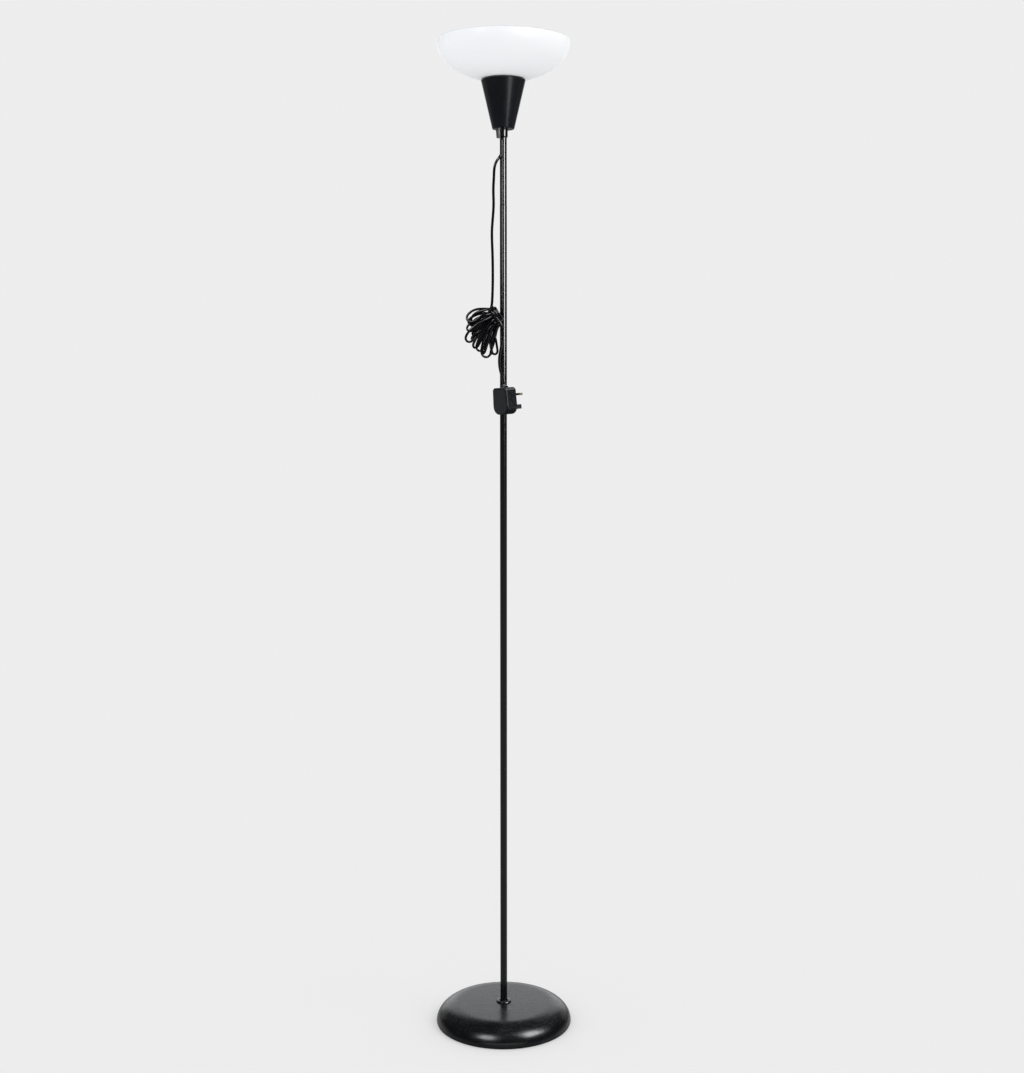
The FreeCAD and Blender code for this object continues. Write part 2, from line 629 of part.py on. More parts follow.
# ---------------------------------------------------------------- cord and plug
def round_tube(route, radius):
    """Tube along straight runs joined by the largest tangent arcs; also the arcs' radii."""
    edges = []
    radii = []
    length = 0.0
    start = route[0]
    for before, corner, after in zip(route, route[1:], route[2:]):
        come = (corner - before).normalize()
        go = (after - corner).normalize()
        half = come.getAngle(go) / 2
        reach = 0.45 * min((corner - before).Length, (after - corner).Length)
        first = corner - come * reach
        last = corner + go * reach
        radius_here = reach / math.tan(half)
        middle = corner + (go - come).normalize() * (radius_here / math.cos(half) - radius_here)
        edges.append(Part.LineSegment(start, first).toShape())
        edges.append(Part.Arc(first, middle, last).toShape())
        length += (first - start).Length + radius_here * 2 * half
        radii.append(radius_here)
        start = last
    edges.append(Part.LineSegment(start, route[-1]).toShape())
    length += (route[-1] - start).Length
    section = Part.Wire(Part.Circle(route[0], route[1] - route[0], radius).toShape())
    solid = Part.Wire(edges).makePipeShell([section], True, False)
    return solid, radii, length


def cord_run(name, route):
    """One free stretch of the cord, exported, with its radii and volume printed."""
    radius = CORD_DIAMETER / 2
    solid, radii, length = round_tube(route, radius)
    wanted = math.pi * radius ** 2 * length
    print(name, "length %.1f mm" % length, "smallest radius %.1f mm" % min(radii),
          "= %.1f diameters" % (min(radii) / CORD_DIAMETER))
    print(name, "arc radii", ", ".join("%.0f" % value for value in radii))
    print(name, "volume / (section x length) = %.4f" % (solid.Volume / wanted), solid.isValid())
    export(name, solid)
    return length


def cord_hank():
    """Outer shape of the tied hank of cord, one closed solid with rounded edges."""
    ring = [V(x, HANK_FRONT, z) for x, z in HANK_OUTLINE]
    block = Part.Face(Part.makePolygon(ring + [ring[0]])).extrude(V(0, HANK_BACK - HANK_FRONT, 0))
    block = block.makeFillet(HANK_CORNER, edges_along(block, V(0, 1, 0)))
    rims = edges_in_plane(block, "Y", HANK_FRONT) + edges_in_plane(block, "Y", HANK_BACK)
    return block.makeFillet(HANK_CORNER - 0.5, rims)


def placed_plug(shape):
    """Moves a piece from the plug's own frame (pins along +X) to where the plug hangs."""
    moved = shape.copy()
    moved.rotate(V(0, 0, 0), UP, PLUG_TURN)
    moved.rotate(V(0, 0, 0), V(0, -1, 0), PLUG_TIP)
    moved.translate(PLUG_CENTRE)
    return moved


def plug_outline(inset):
    """Corners of the plug's outline in its Y-Z plane, narrower where the cord goes in."""
    half = PLUG_WIDTH / 2 - inset
    top = PLUG_HEIGHT / 2 - inset
    narrow = half - PLUG_TAPER
    return [V(0, -narrow, top), V(0, narrow, top), V(0, half, -top), V(0, -half, -top)]


def plug_block(inset, low, high):
    """Plug outline as a solid between two depths: small corners by the cord, wide ones below."""
    corners = plug_outline(inset)
    block = Part.Face(Part.makePolygon(corners + [corners[0]])).extrude(V(high - low, 0, 0))
    block.translate(V(low, 0, 0))
    lower = [edge for edge in edges_along(block, V(1, 0, 0)) if edge.CenterOfMass.z < 0]
    block = block.makeFillet(PLUG_EARTH_CORNER - inset * 0.5, lower)
    level = corners[0].z - 0.1
    upper = [edge for edge in edges_along(block, V(1, 0, 0)) if edge.CenterOfMass.z > level]
    return block.makeFillet(PLUG_CORD_CORNER - inset * 0.5, upper)


def plug_cover():
    """Back half of the plug, a shell with softly rounded edges."""
    back = -PLUG_DEPTH / 2
    outer = plug_block(0.0, back, 0.0)
    outer = outer.makeFillet(PLUG_BACK_EDGE, edges_in_plane(outer, "X", back))
    outer = outer.makeChamfer(PLUG_SEAM, edges_in_plane(outer, "X", 0.0))
    return outer.cut(plug_block(PLUG_WALL, back + PLUG_WALL, 1.0))


def plug_base():
    """Pin half of the plug: shell, pin slots, seat of the fuse carrier."""
    front = PLUG_DEPTH / 2
    outer = plug_block(0.0, 0.0, front)
    outer = outer.makeFillet(PLUG_PIN_EDGE, edges_in_plane(outer, "X", front))
    outer = outer.makeChamfer(PLUG_SEAM, edges_in_plane(outer, "X", 0.0))
    shell = outer.cut(plug_block(PLUG_WALL, -1.0, front - PLUG_WALL))
    for pin in (plug_line_pin(-1, True), plug_line_pin(1, True), plug_earth_pin()):
        shell = shell.cut(pin)
    return shell.cut(box((front - LID_DEPTH, -LID_HALF_LENGTH, -LID_HALF_HEIGHT),
                         (front + 1.0, LID_HALF_LENGTH, LID_HALF_HEIGHT)))


def pin_bar(side, first, last, inset=0.0):
    """Bar with a line pin's section between two depths from the pin face."""
    y = side * PIN_SPACING / 2
    front = PLUG_DEPTH / 2
    half_y = PIN_HALF_WIDTH - inset
    half_z = PIN_HALF_THICKNESS - inset
    return box((front + first, y - half_y, PIN_ROW - half_z), (front + last, y + half_y, PIN_ROW + half_z))


def plug_line_pin(side, whole):
    """Live or neutral pin; whole also takes in the room of its sleeve."""
    end = PLUG_DEPTH / 2 + PIN_LENGTH
    root = pin_bar(side, -PIN_ROOT, SLEEVE_LENGTH, 0.0 if whole else SLEEVE_WALL)
    tip = pin_bar(side, SLEEVE_LENGTH, PIN_LENGTH)
    tip = tip.makeChamfer(0.9, edges_in_plane(tip, "X", end))
    return root.fuse(tip).removeSplitter()


def pin_sleeve(side):
    """Insulating sleeve on the root of a pin."""
    return pin_bar(side, -PIN_ROOT, SLEEVE_LENGTH).cut(plug_line_pin(side, False))


def plug_earth_pin():
    """Plastic earth pin, taller than it is wide, with a bevelled end."""
    front = PLUG_DEPTH / 2
    end = front + EARTH_LENGTH
    pin = box((front - PIN_ROOT, -EARTH_HALF_WIDTH, EARTH_ROW - EARTH_HALF_HEIGHT),
              (end, EARTH_HALF_WIDTH, EARTH_ROW + EARTH_HALF_HEIGHT))
    return pin.makeChamfer(1.0, edges_in_plane(pin, "X", end))


def plug_boss():
    """Tapered collar where the cord enters the plug."""
    top = PLUG_HEIGHT / 2
    low = box((-5.0, -7.0, top), (5.0, 7.0, top + 2.4))
    low = low.makeFillet(2.0, edges_along(low, UP))
    high = Part.makeCone(5.0, 3.6, 3.6, V(0, 0, top + 2.4), UP)
    return low.fuse(high).removeSplitter()


def fuse_carrier():
    """Lid in the pin face that holds the fuse, with a slot to lift it."""
    front = PLUG_DEPTH / 2
    lid = box((front - LID_DEPTH, 0.1 - LID_HALF_LENGTH, 0.1 - LID_HALF_HEIGHT),
              (front + 0.2, LID_HALF_LENGTH - 0.1, LID_HALF_HEIGHT - 0.1))
    return lid.cut(box((front - 0.3, -3.0, 2.6), (front + 1.0, 3.0, 3.4)))


def fuse_bar(radius, length, middle):
    """Cylinder on the fuse's axis."""
    place = V(PLUG_DEPTH / 2 - FUSE_DEPTH, middle - length / 2, 0.0)
    return Part.makeCylinder(radius, length, place, V(0, 1, 0))


def fuse():
    return fuse_bar(FUSE_RADIUS, FUSE_LENGTH, 0.0)


def fuse_clips():
    clips = []
    for side in (-1, 1):
        clips.append(fuse_bar(FUSE_RADIUS + 0.5, 3.0, side * 13.5).cut(fuse()))
    return clips


def make_plug():
    export("plug_cover", placed_plug(plug_cover()))
    export("plug_base", placed_plug(plug_base()))
    export("plug_live_pin", placed_plug(plug_line_pin(-1, False)))
    export("plug_neutral_pin", placed_plug(plug_line_pin(1, False)))
    export("plug_pin_sleeves", *[placed_plug(pin_sleeve(side)) for side in (-1, 1)])
    export("plug_earth_pin", placed_plug(plug_earth_pin()))
    export("plug_boss", placed_plug(plug_boss()))
    export("fuse_carrier", placed_plug(fuse_carrier()))
    export("fuse", placed_plug(fuse()))
    export("fuse_clips", *[placed_plug(clip) for clip in fuse_clips()])


# ---------------------------------------------------------------- the whole lamp
def make_base():
    export("base_cover", base_cover())
    export("base_weight", base_weight())
    export("base_plate", base_plate())
    export("base_feet", *base_feet())
    export("base_stud", base_stud())
    export("base_washer", base_washer())
    export("base_nut", base_nut())
    export("foot_collar", foot_collar())


def make_pole():
    inner = TUBE_RADIUS - TUBE_WALL
    stub_inner = STUB_RADIUS - STUB_WALL
    export("pole_lower", pole_tube(TUBE_RADIUS, TUBE_WALL, POLE_FOOT, LOWER_JOINT))
    export("pole_middle", pole_tube(TUBE_RADIUS, TUBE_WALL, LOWER_JOINT, MIDDLE_JOINT))
    export("pole_upper", pole_tube(TUBE_RADIUS, TUBE_WALL, MIDDLE_JOINT, UPPER_JOINT))
    export("head_tube", head_tube())
    export("pole_lower_bush", joint_bush(inner, POLE_FOOT))
    export("pole_middle_bush", joint_bush(inner, LOWER_JOINT))
    export("pole_upper_bush", joint_bush(inner, MIDDLE_JOINT))
    export("head_tube_bush", joint_bush(stub_inner, UPPER_JOINT))
    export("pole_lower_stud", joint_stud(inner, LOWER_JOINT))
    export("pole_middle_stud", joint_stud(inner, MIDDLE_JOINT))
    export("pole_upper_stud", joint_stud(inner, UPPER_JOINT))


def make_head():
    export("head_cup", head_cup())
    export("neck_ferrule", neck_ferrule())
    export("head_nipple", head_nipple())
    export("head_nut", head_nut())
    export("lampholder_cap", lampholder_cap())
    export("lampholder_body", lampholder_body())
    export("contact_block", contact_block())
    export("screw_shell", screw_shell())
    export("centre_contact", centre_contact())
    export("terminal_screws", *terminal_screws())
    export("inner_leads", *inner_leads())
    export("shade_ring", shade_ring())
    export("shade_bowl", shade_bowl())


def make_bulb():
    export("bulb_cap", bulb_cap())
    export("bulb_insulator", bulb_insulator())
    export("bulb_contact", bulb_contact())
    export("bulb_housing", bulb_housing())
    export("led_board", led_board())
    export("bulb_globe", bulb_globe())


def make_switch():
    export("switch_body", switch_body())
    export("switch_nut", switch_nut())
    export("switch_leads", *switch_leads())
    export("switch_shaft", switch_shaft())
    export("switch_knob", switch_knob())


def make_cord():
    export("cord_gland", cord_gland())
    upper = cord_run("cord_upper", CORD_UPPER_ROUTE)
    tail = cord_run("cord_tail", CORD_TAIL_ROUTE)
    export("cord_hank", cord_hank())
    print("free cord above and below the hank: %.1f mm" % (upper + tail))


os.makedirs("parts", exist_ok=True)
make_base()
make_pole()
make_head()
make_bulb()
make_switch()
make_cord()
make_plug()
print("nodes written:", len([name for name in os.listdir("parts") if name.endswith(".step")]))
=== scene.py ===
"""Looks of the torchiere floor lamp: camera, cord, materials, floor and light.

Metres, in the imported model's frame: +Z up, the pole on the Z axis, -Y the front.
"""
import json
import math

import bmesh
import bpy
import numpy
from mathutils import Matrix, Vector


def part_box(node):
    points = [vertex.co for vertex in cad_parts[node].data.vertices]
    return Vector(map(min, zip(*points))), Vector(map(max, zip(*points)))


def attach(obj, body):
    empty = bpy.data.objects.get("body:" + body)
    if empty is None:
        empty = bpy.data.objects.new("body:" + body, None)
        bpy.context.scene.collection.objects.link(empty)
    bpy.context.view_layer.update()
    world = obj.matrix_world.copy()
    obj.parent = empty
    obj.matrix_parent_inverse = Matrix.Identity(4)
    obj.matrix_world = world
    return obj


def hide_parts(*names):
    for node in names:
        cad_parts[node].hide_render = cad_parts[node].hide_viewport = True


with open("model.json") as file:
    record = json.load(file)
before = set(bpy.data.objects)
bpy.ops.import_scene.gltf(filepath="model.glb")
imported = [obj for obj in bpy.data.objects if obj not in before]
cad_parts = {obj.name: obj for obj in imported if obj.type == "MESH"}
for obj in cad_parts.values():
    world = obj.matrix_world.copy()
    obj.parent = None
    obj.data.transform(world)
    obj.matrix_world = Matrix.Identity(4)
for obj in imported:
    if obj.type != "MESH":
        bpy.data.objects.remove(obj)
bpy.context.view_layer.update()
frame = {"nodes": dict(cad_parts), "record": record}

MM = 0.001
NODES = frame["nodes"]

# ---------------------------------------------------------------- camera
LENS = 50.0                # full-frame equivalent on the frame's long side
CAMERA_PLACE = Vector((0.0155, -2.71, 1.20))
CAMERA_PITCH = 5.9         # degrees below the horizon


def make_camera():
    data = bpy.data.cameras.new("camera")
    data.sensor_width = 36.0
    data.lens = LENS
    camera = bpy.data.objects.new("camera", data)
    camera.location = CAMERA_PLACE
    camera.rotation_euler = (math.radians(90.0 - CAMERA_PITCH), 0.0, 0.0)
    bpy.context.scene.collection.objects.link(camera)
    bpy.context.scene.camera = camera


# ---------------------------------------------------------------- cord
CORD_WIDTH = 4.8 * MM
CORD_THICKNESS = 4.0 * MM

# Route of the free stretches, as in the CAD model, in metres
GLAND_END = (-0.00676, -0.007475, 1.597784)
CORD_UPPER_ROUTE = [
    GLAND_END,
    (-0.0116, -0.0128, 1.5922),
    (-0.0160, -0.0170, 1.5795),
    (-0.0167, -0.0172, 1.5600),
    (-0.0179, -0.0172, 1.5400),
    (-0.0168, -0.0178, 1.5120),
    (-0.0194, -0.0180, 1.4820),
    (-0.0206, -0.0185, 1.4620),
    (-0.0190, -0.0190, 1.4250),
    (-0.0186, -0.0194, 1.3850),
    (-0.0194, -0.0196, 1.3520),
    (-0.0208, -0.0202, 1.3330),
]
CORD_TAIL_ROUTE = [
    (-0.0105, -0.0370, 1.3110),
    (-0.0045, -0.0400, 1.3040),
    (-0.0006, -0.0415, 1.2920),
    (-0.0006, -0.0420, 1.2780),
    (-0.0042, -0.0420, 1.2610),
    (-0.0076, -0.0410, 1.2440),
    (-0.0072, -0.0392, 1.2280),
    (-0.0036, -0.0365, 1.2130),
    (-0.0003, -0.0346, 1.2050),
    (0.0010, -0.0340, 1.1971),
]

# The hank, in millimetres. Each loop: its far end (x, z), half width, lean of its plane about its own
# length, depth of the far end, and the slopes below the left horizon where it leaves and where it ends.
TIE = Vector((-12.5, -24.5, 1317.5))
HANK_AXIS = 38.0           # slope of the bundle where the tie holds it
HANK_ENTRY = [(-26.5, -18.5, 1327.5), (-29.0, -15.0, 1313.0)]
HANK_LOOPS = [
    ((-22.5, 1241.5), 6.5, 60, 6.0, 70, 92),
    ((-13.5, 1243.5), 6.0, -20, -3.0, 66, 102),
    ((-32.0, 1236.5), 9.0, 12, -9.0, 54, 84),
    ((-38.0, 1245.0), 6.5, 65, 4.0, 48, 80),
    ((-46.0, 1249.5), 8.0, 25, -4.0, 42, 74),
    ((-55.5, 1256.0), 7.0, 40, 5.0, 36, 64),
    ((-68.5, 1267.5), 8.0, -25, -8.0, 28, 60),
    ((-60.0, 1273.0), 7.0, 75, 6.0, 26, 54),
    ((-57.0, 1281.5), 7.5, 60, -2.0, 20, 48),
    ((-68.0, 1290.5), 7.0, 25, -7.0, 12, 32),
    ((-59.0, 1299.0), 8.0, -55, 8.0, 2, 30),
    ((-63.5, 1303.0), 8.5, 38, 1.0, -5, 34),
    ((-60.0, 1308.0), 8.5, -40, 8.0, -11, 38),
    ((-66.5, 1308.5), 11.0, 22, -6.0, -12, 34),
]
SIDE_POINTS = 5            # control points along each side of a loop
END_ANGLES = (50, 0, -50)  # control points round the far end of a loop
END_BULGE = 1.1
SPINE_REACH = 0.38         # how long a loop keeps the slope it starts with, as a share of its length
WIDE_FROM = 0.8            # share of the length at which a loop is full width
BUNDLE_RADIUS = 9.0
GOLDEN_ANGLE = 137.5
FOLD_REACH = 11.5          # how far the folds stand out beyond the middle of the tie
FOLD_SIDE = 5.0            # length of a fold's sides
WRAP_STEPS = 27            # control points of the tie's turns, twelve to a turn
WRAP_POINTS = 12
WRAP_RADIUS = 12.4
WRAP_FIRST = -6.5          # where the turns begin and end along the bundle
WRAP_LAST = 2.4
STRAND_SPACING = 4.5       # middle to middle, where strands lie side by side
LOOSEN_ROUNDS = 170
SAMPLE_SHARES = (0.0, 0.25, 0.5, 0.75)
SAME_STRAND = 10           # samples this near along the cord don't push each other
PUSH_SHARE = 0.25
LONGEST_PUSH = 0.6
HOME_PULL = 0.012
SMOOTHING = 0.015          # everywhere, with more of it where the cord bends sharply
SHARP_SMOOTHING = 0.12
SHARP_BEND = 3.2
SHARP_RANGE = 3.0
EVENING = 0.15             # keeps the control points evenly spaced
TWIST_SHARE = 0.35         # how readily the flat cord turns to bend the easy way
SECTION_POINTS = 18


def slope_vector(degrees):
    """Unit vector in the front plane, turned down from the left horizon."""
    angle = math.radians(degrees)
    return Vector((-math.cos(angle), 0.0, -math.sin(angle)))


def upward(direction):
    """Unit vector in the front plane, square to a direction and pointing up."""
    across = Vector((-direction.z, 0.0, direction.x))
    return across if across.z > 0 else -across


def bezier(points, share):
    """Point and direction on a cubic curve."""
    a, b, c, d = points
    rest = 1.0 - share
    place = a * rest ** 3 + b * (3 * rest * rest * share) + c * (3 * rest * share * share) + d * share ** 3
    along = (b - a) * (rest * rest) + (c - b) * (2 * rest * share) + (d - c) * (share * share)
    return place, along.normalized()


def loop_points(loop, side, place_out, place_back):
    """Control points of one drooping loop: out from the tie, round its end and back."""
    (tip_x, tip_z), half_width, lean, depth, leave, arrive = loop
    lean = math.radians(lean)
    tip = Vector((tip_x, TIE.y + depth, tip_z))
    end = slope_vector(arrive)
    middle = tip - end * half_width
    reach = (middle - TIE).length * SPINE_REACH
    spine = (TIE, TIE + slope_vector(leave) * reach, middle - end * reach, middle)
    out = []
    back = []
    for k in range(1, SIDE_POINTS + 1):
        share = k / SIDE_POINTS
        place, along = bezier(spine, share)
        across = upward(along) * math.cos(lean) + Vector((0, 1, 0)) * math.sin(lean)
        across *= side * half_width * math.sin(math.pi / 2 * min(1.0, share / WIDE_FROM)) ** 1.3
        out.append(place + across + place_out * (1.0 - share))
        back.append(place - across + place_back * (1.0 - share))
    across = (upward(end) * math.cos(lean) + Vector((0, 1, 0)) * math.sin(lean)) * side
    turn = []
    for degrees in END_ANGLES:
        angle = math.radians(degrees)
        turn.append(middle + (end * math.cos(angle) + across * math.sin(angle)) * half_width * END_BULGE)
    return out + turn + back[::-1]


def bundle_places(count):
    """Where the strands cross the tie, from the lowest up: out in front, back behind."""
    places = []
    for k in range(2 * count):
        radius = BUNDLE_RADIUS * math.sqrt((k + 0.6) / (2 * count))
        angle = k * math.radians(GOLDEN_ANGLE)
        places.append((radius * math.cos(angle), radius * math.sin(angle)))
    places.sort()
    up = upward(slope_vector(HANK_AXIS))
    halves = []
    for half in (places[:count], places[count:]):
        half.sort(key=lambda place: place[1])
        halves.append([up * high + Vector((0, 1, 0)) * deep for deep, high in half])
    return halves


def hank_route():
    """Control points of the tied hank in millimetres: loops from the lowest up, then the tie's turns."""
    axis = slope_vector(HANK_AXIS)
    fronts, backs = bundle_places(len(HANK_LOOPS))
    route = [Vector(point) for point in HANK_ENTRY]
    for i, loop in enumerate(HANK_LOOPS):
        points = loop_points(loop, 1 if i % 2 == 0 else -1, fronts[i], backs[i])
        route += points[1:] if i == 0 else points
        reach = FOLD_REACH + i % 3
        route.append(TIE - axis * (reach - FOLD_SIDE) + backs[i])
        if i + 1 < len(HANK_LOOPS):
            after = fronts[i + 1]
            route.append(TIE - axis * reach + backs[i] * 0.85 + after * 0.15)
            route.append(TIE - axis * reach + backs[i] * 0.15 + after * 0.85)
            route.append(TIE - axis * (reach - FOLD_SIDE) + after)
    up = upward(axis)
    for k in range(WRAP_STEPS + 1):
        angle = 2 * math.pi * k / WRAP_POINTS
        ring = Vector((0, -1, 0)) * math.sin(angle) + up * math.cos(angle)
        along = WRAP_FIRST + (WRAP_LAST - WRAP_FIRST) * k / WRAP_STEPS
        route.append(TIE + axis * along + ring * WRAP_RADIUS)
    return route


def curve_weights(count):
    """Weights of the control points in a few samples per span of a quadratic curve."""
    rows = []
    for i in range(1, count - 1):
        for share in SAMPLE_SHARES:
            row = numpy.zeros(count)
            row[i - 1] = 0.5 * (1 - share) ** 2
            row[i] = 0.5 + share - share * share
            row[i + 1] = 0.5 * share * share
            rows.append(row)
    return numpy.array(rows)


def loosened(route):
    """Pushes the hank's strands apart, so that the cord lies beside itself, not through itself."""
    places = numpy.array([tuple(point) for point in route])
    home = places.copy()
    weights = curve_weights(len(places))
    totals = weights.sum(axis=0)[:, None]
    order = numpy.arange(len(weights))
    apart = numpy.abs(order[:, None] - order[None, :]) > SAME_STRAND
    for _ in range(LOOSEN_ROUNDS):
        samples = weights @ places
        gaps = samples[:, None, :] - samples[None, :, :]
        distances = numpy.sqrt((gaps ** 2).sum(axis=2)) + 1e-6
        lack = numpy.where(apart & (distances < STRAND_SPACING), STRAND_SPACING - distances, 0.0)
        push = (gaps * (lack / distances)[:, :, None]).sum(axis=1) * PUSH_SHARE
        size = numpy.sqrt((push ** 2).sum(axis=1))[:, None] + 1e-6
        push *= numpy.minimum(1.0, LONGEST_PUSH / size)
        places[1:-1] += ((weights.T @ push) / totals)[1:-1]
        places[1:-1] += (home - places)[1:-1] * HOME_PULL
        bend = (places[:-2] + places[2:]) / 2 - places[1:-1]
        sharp = numpy.sqrt((bend ** 2).sum(axis=1))[:, None]
        sharpness = numpy.clip((sharp - SHARP_BEND) / SHARP_RANGE, 0.0, 1.0)
        places[1:-1] += bend * (SMOOTHING + SHARP_SMOOTHING * sharpness)
        along = places[2:] - places[:-2]
        along /= numpy.sqrt((along ** 2).sum(axis=1))[:, None]
        places[1:-1] += along * (bend * along).sum(axis=1)[:, None] * EVENING
    return [Vector(place) for place in places]


def cord_spline():
    """The whole cord as one NURBS curve in metres, from the gland to the plug; its points."""
    hank = [point * MM for point in loosened(hank_route())]
    points = [Vector(p) for p in CORD_UPPER_ROUTE] + hank + [Vector(p) for p in CORD_TAIL_ROUTE]
    curve = bpy.data.curves.new("cord_path", "CURVE")
    curve.dimensions = "3D"
    spline = curve.splines.new("NURBS")
    spline.points.add(len(points) - 1)
    for place, point in zip(spline.points, points):
        place.co = (point.x, point.y, point.z, 1.0)
    spline.order_u = 3
    spline.use_endpoint_u = True
    curve.resolution_u = 5
    holder = bpy.data.objects.new("cord_path", curve)
    bpy.context.scene.collection.objects.link(holder)
    bpy.context.view_layer.update()
    mesh = bpy.data.meshes.new_from_object(holder)
    path = [v.co.copy() for v in mesh.vertices]
    bpy.data.meshes.remove(mesh)
    bpy.data.objects.remove(holder)
    return path


def twin_section(count):
    """Outline of the flat twin cord: two round cores side by side, with a groove between."""
    radius = CORD_THICKNESS / 2
    offset = CORD_WIDTH / 2 - radius
    limit = math.pi - math.acos(offset / radius)
    ring = []
    for side, start in ((1, 0.0), (-1, math.pi)):
        for k in range(count // 2):
            angle = start - limit + 2 * limit * (k + 0.5) / (count // 2)
            ring.append((side * offset + radius * math.cos(angle), radius * math.sin(angle)))
    return ring


def swept(name, path, section):
    """Mesh tube of a section along a path; its wide side lies along the axis of each bend."""
    count = len(path)
    tangents = []
    for i in range(count):
        before, after = path[max(i - 1, 0)], path[min(i + 1, count - 1)]
        tangents.append((after - before).normalized())
    wide = tangents[0].orthogonal().normalized()
    mesh = bmesh.new()
    rings = []
    for i, (place, tangent) in enumerate(zip(path, tangents)):
        wide = (wide - tangent * wide.dot(tangent)).normalized()
        bend = tangents[max(i - 2, 0)].cross(tangents[min(i + 2, count - 1)])
        if bend.dot(wide) < 0:
            bend = -bend
        wide = (wide + bend * TWIST_SHARE).normalized()
        wide = (wide - tangent * wide.dot(tangent)).normalized()
        high = tangent.cross(wide)
        rings.append([mesh.verts.new(place + wide * a + high * b) for a, b in section])
    for first, second in zip(rings, rings[1:]):
        for k in range(len(section)):
            after = (k + 1) % len(section)
            mesh.faces.new((first[k], first[after], second[after], second[k]))
    mesh.faces.new(rings[0][::-1])
    mesh.faces.new(rings[-1])
    return mesh_object(name, mesh)


def mesh_object(name, mesh, smooth=True):
    """Turns a bmesh into a linked object."""
    bmesh.ops.recalc_face_normals(mesh, faces=mesh.faces)
    data = bpy.data.meshes.new(name)
    mesh.to_mesh(data)
    mesh.free()
    for face in data.polygons:
        face.use_smooth = smooth
    obj = bpy.data.objects.new(name, data)
    bpy.context.scene.collection.objects.link(obj)
    return obj


def make_cord():
    path = cord_spline()
    print("cord length %.3f m" % sum((b - a).length for a, b in zip(path, path[1:])))
    cord = swept("flat_cord", path, twin_section(SECTION_POINTS))
    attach(cord, "root")
    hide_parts("cord_upper", "cord_hank", "cord_tail")
    return cord


# ---------------------------------------------------------------- materials
RANGE_SOCKETS = ("From Min", "From Max", "To Min", "To Max")


class Shader:
    """Small helper that builds a Principled material node by node."""

    def __init__(self, name, **sockets):
        self.material = bpy.data.materials.new(name)
        self.material.use_nodes = True
        self.tree = self.material.node_tree
        self.principled = self.tree.nodes["Principled BSDF"]
        for socket, value in sockets.items():
            self.principled.inputs[socket.replace("_", " ")].default_value = value

    def node(self, kind, **settings):
        made = self.tree.nodes.new(kind)
        for key, value in settings.items():
            setattr(made, key, value)
        return made

    def join(self, output, target):
        self.tree.links.new(output, target)

    def place(self, scale=(1.0, 1.0, 1.0)):
        """Object coordinates, stretched."""
        where = self.node("ShaderNodeTexCoord")
        mapping = self.node("ShaderNodeMapping")
        mapping.inputs["Scale"].default_value = scale
        self.join(where.outputs["Object"], mapping.inputs["Vector"])
        return mapping.outputs["Vector"]

    def noise(self, scale, detail=4.0, roughness=0.55, stretch=(1.0, 1.0, 1.0), distortion=0.0):
        made = self.node("ShaderNodeTexNoise")
        made.inputs["Scale"].default_value = scale
        made.inputs["Detail"].default_value = detail
        made.inputs["Roughness"].default_value = roughness
        made.inputs["Distortion"].default_value = distortion
        self.join(self.place(stretch), made.inputs["Vector"])
        return made.outputs["Fac"]

    def cells(self, scale, feature="F1", stretch=(1.0, 1.0, 1.0)):
        made = self.node("ShaderNodeTexVoronoi", feature=feature)
        made.inputs["Scale"].default_value = scale
        self.join(self.place(stretch), made.inputs["Vector"])
        return made.outputs["Distance"]

    def spread(self, value, low, high, to_low=0.0, to_high=1.0):
        made = self.node("ShaderNodeMapRange")
        for socket, number in zip(RANGE_SOCKETS, (low, high, to_low, to_high)):
            made.inputs[socket].default_value = number
        self.join(value, made.inputs["Value"])
        return made.outputs["Result"]

    def maths(self, operation, first, second):
        made = self.node("ShaderNodeMath", operation=operation)
        for socket, value in zip(made.inputs, (first, second)):
            if isinstance(value, float):
                socket.default_value = value
            else:
                self.join(value, socket)
        return made.outputs[0]

    def mix(self, factor, first, second):
        """Colour between two colours or sockets."""
        made = self.node("ShaderNodeMix", data_type="RGBA")
        self.join(factor, made.inputs["Factor"])
        for socket, value in ((made.inputs[6], first), (made.inputs[7], second)):
            if isinstance(value, tuple):
                socket.default_value = (*value, 1.0)
            else:
                self.join(value, socket)
        return made.outputs[2]

    def up_facing(self, low, high):
        """One on surfaces that face up, nought on walls."""
        geometry = self.node("ShaderNodeNewGeometry")
        parts = self.node("ShaderNodeSeparateXYZ")
        self.join(geometry.outputs["Normal"], parts.inputs[0])
        return self.spread(parts.outputs["Z"], low, high)

    def colour(self, output):
        self.join(output, self.principled.inputs["Base Color"])

    def rough(self, output):
        self.join(output, self.principled.inputs["Roughness"])

    def bump(self, height, strength, distance):
        made = self.node("ShaderNodeBump")
        made.inputs["Strength"].default_value = strength
        made.inputs["Distance"].default_value = distance
        self.join(height, made.inputs["Height"])
        link = self.principled.inputs["Normal"].links
        if link:
            self.join(link[0].from_socket, made.inputs["Normal"])
        self.join(made.outputs["Normal"], self.principled.inputs["Normal"])


def grained(name, dark, light, grain, rough, bump, **sockets):
    """Moulded plastic: faint cloudy tone, fine grain in gloss and relief."""
    shader = Shader(name, **sockets)
    cloud = shader.noise(38.0, detail=5.0)
    fine = shader.noise(grain, detail=3.0)
    shader.colour(shader.mix(shader.spread(cloud, 0.35, 0.68), dark, light))
    shader.rough(shader.spread(shader.maths("ADD", cloud, fine), 0.7, 1.3, *rough))
    shader.bump(fine, bump, 0.00012)
    return shader.material


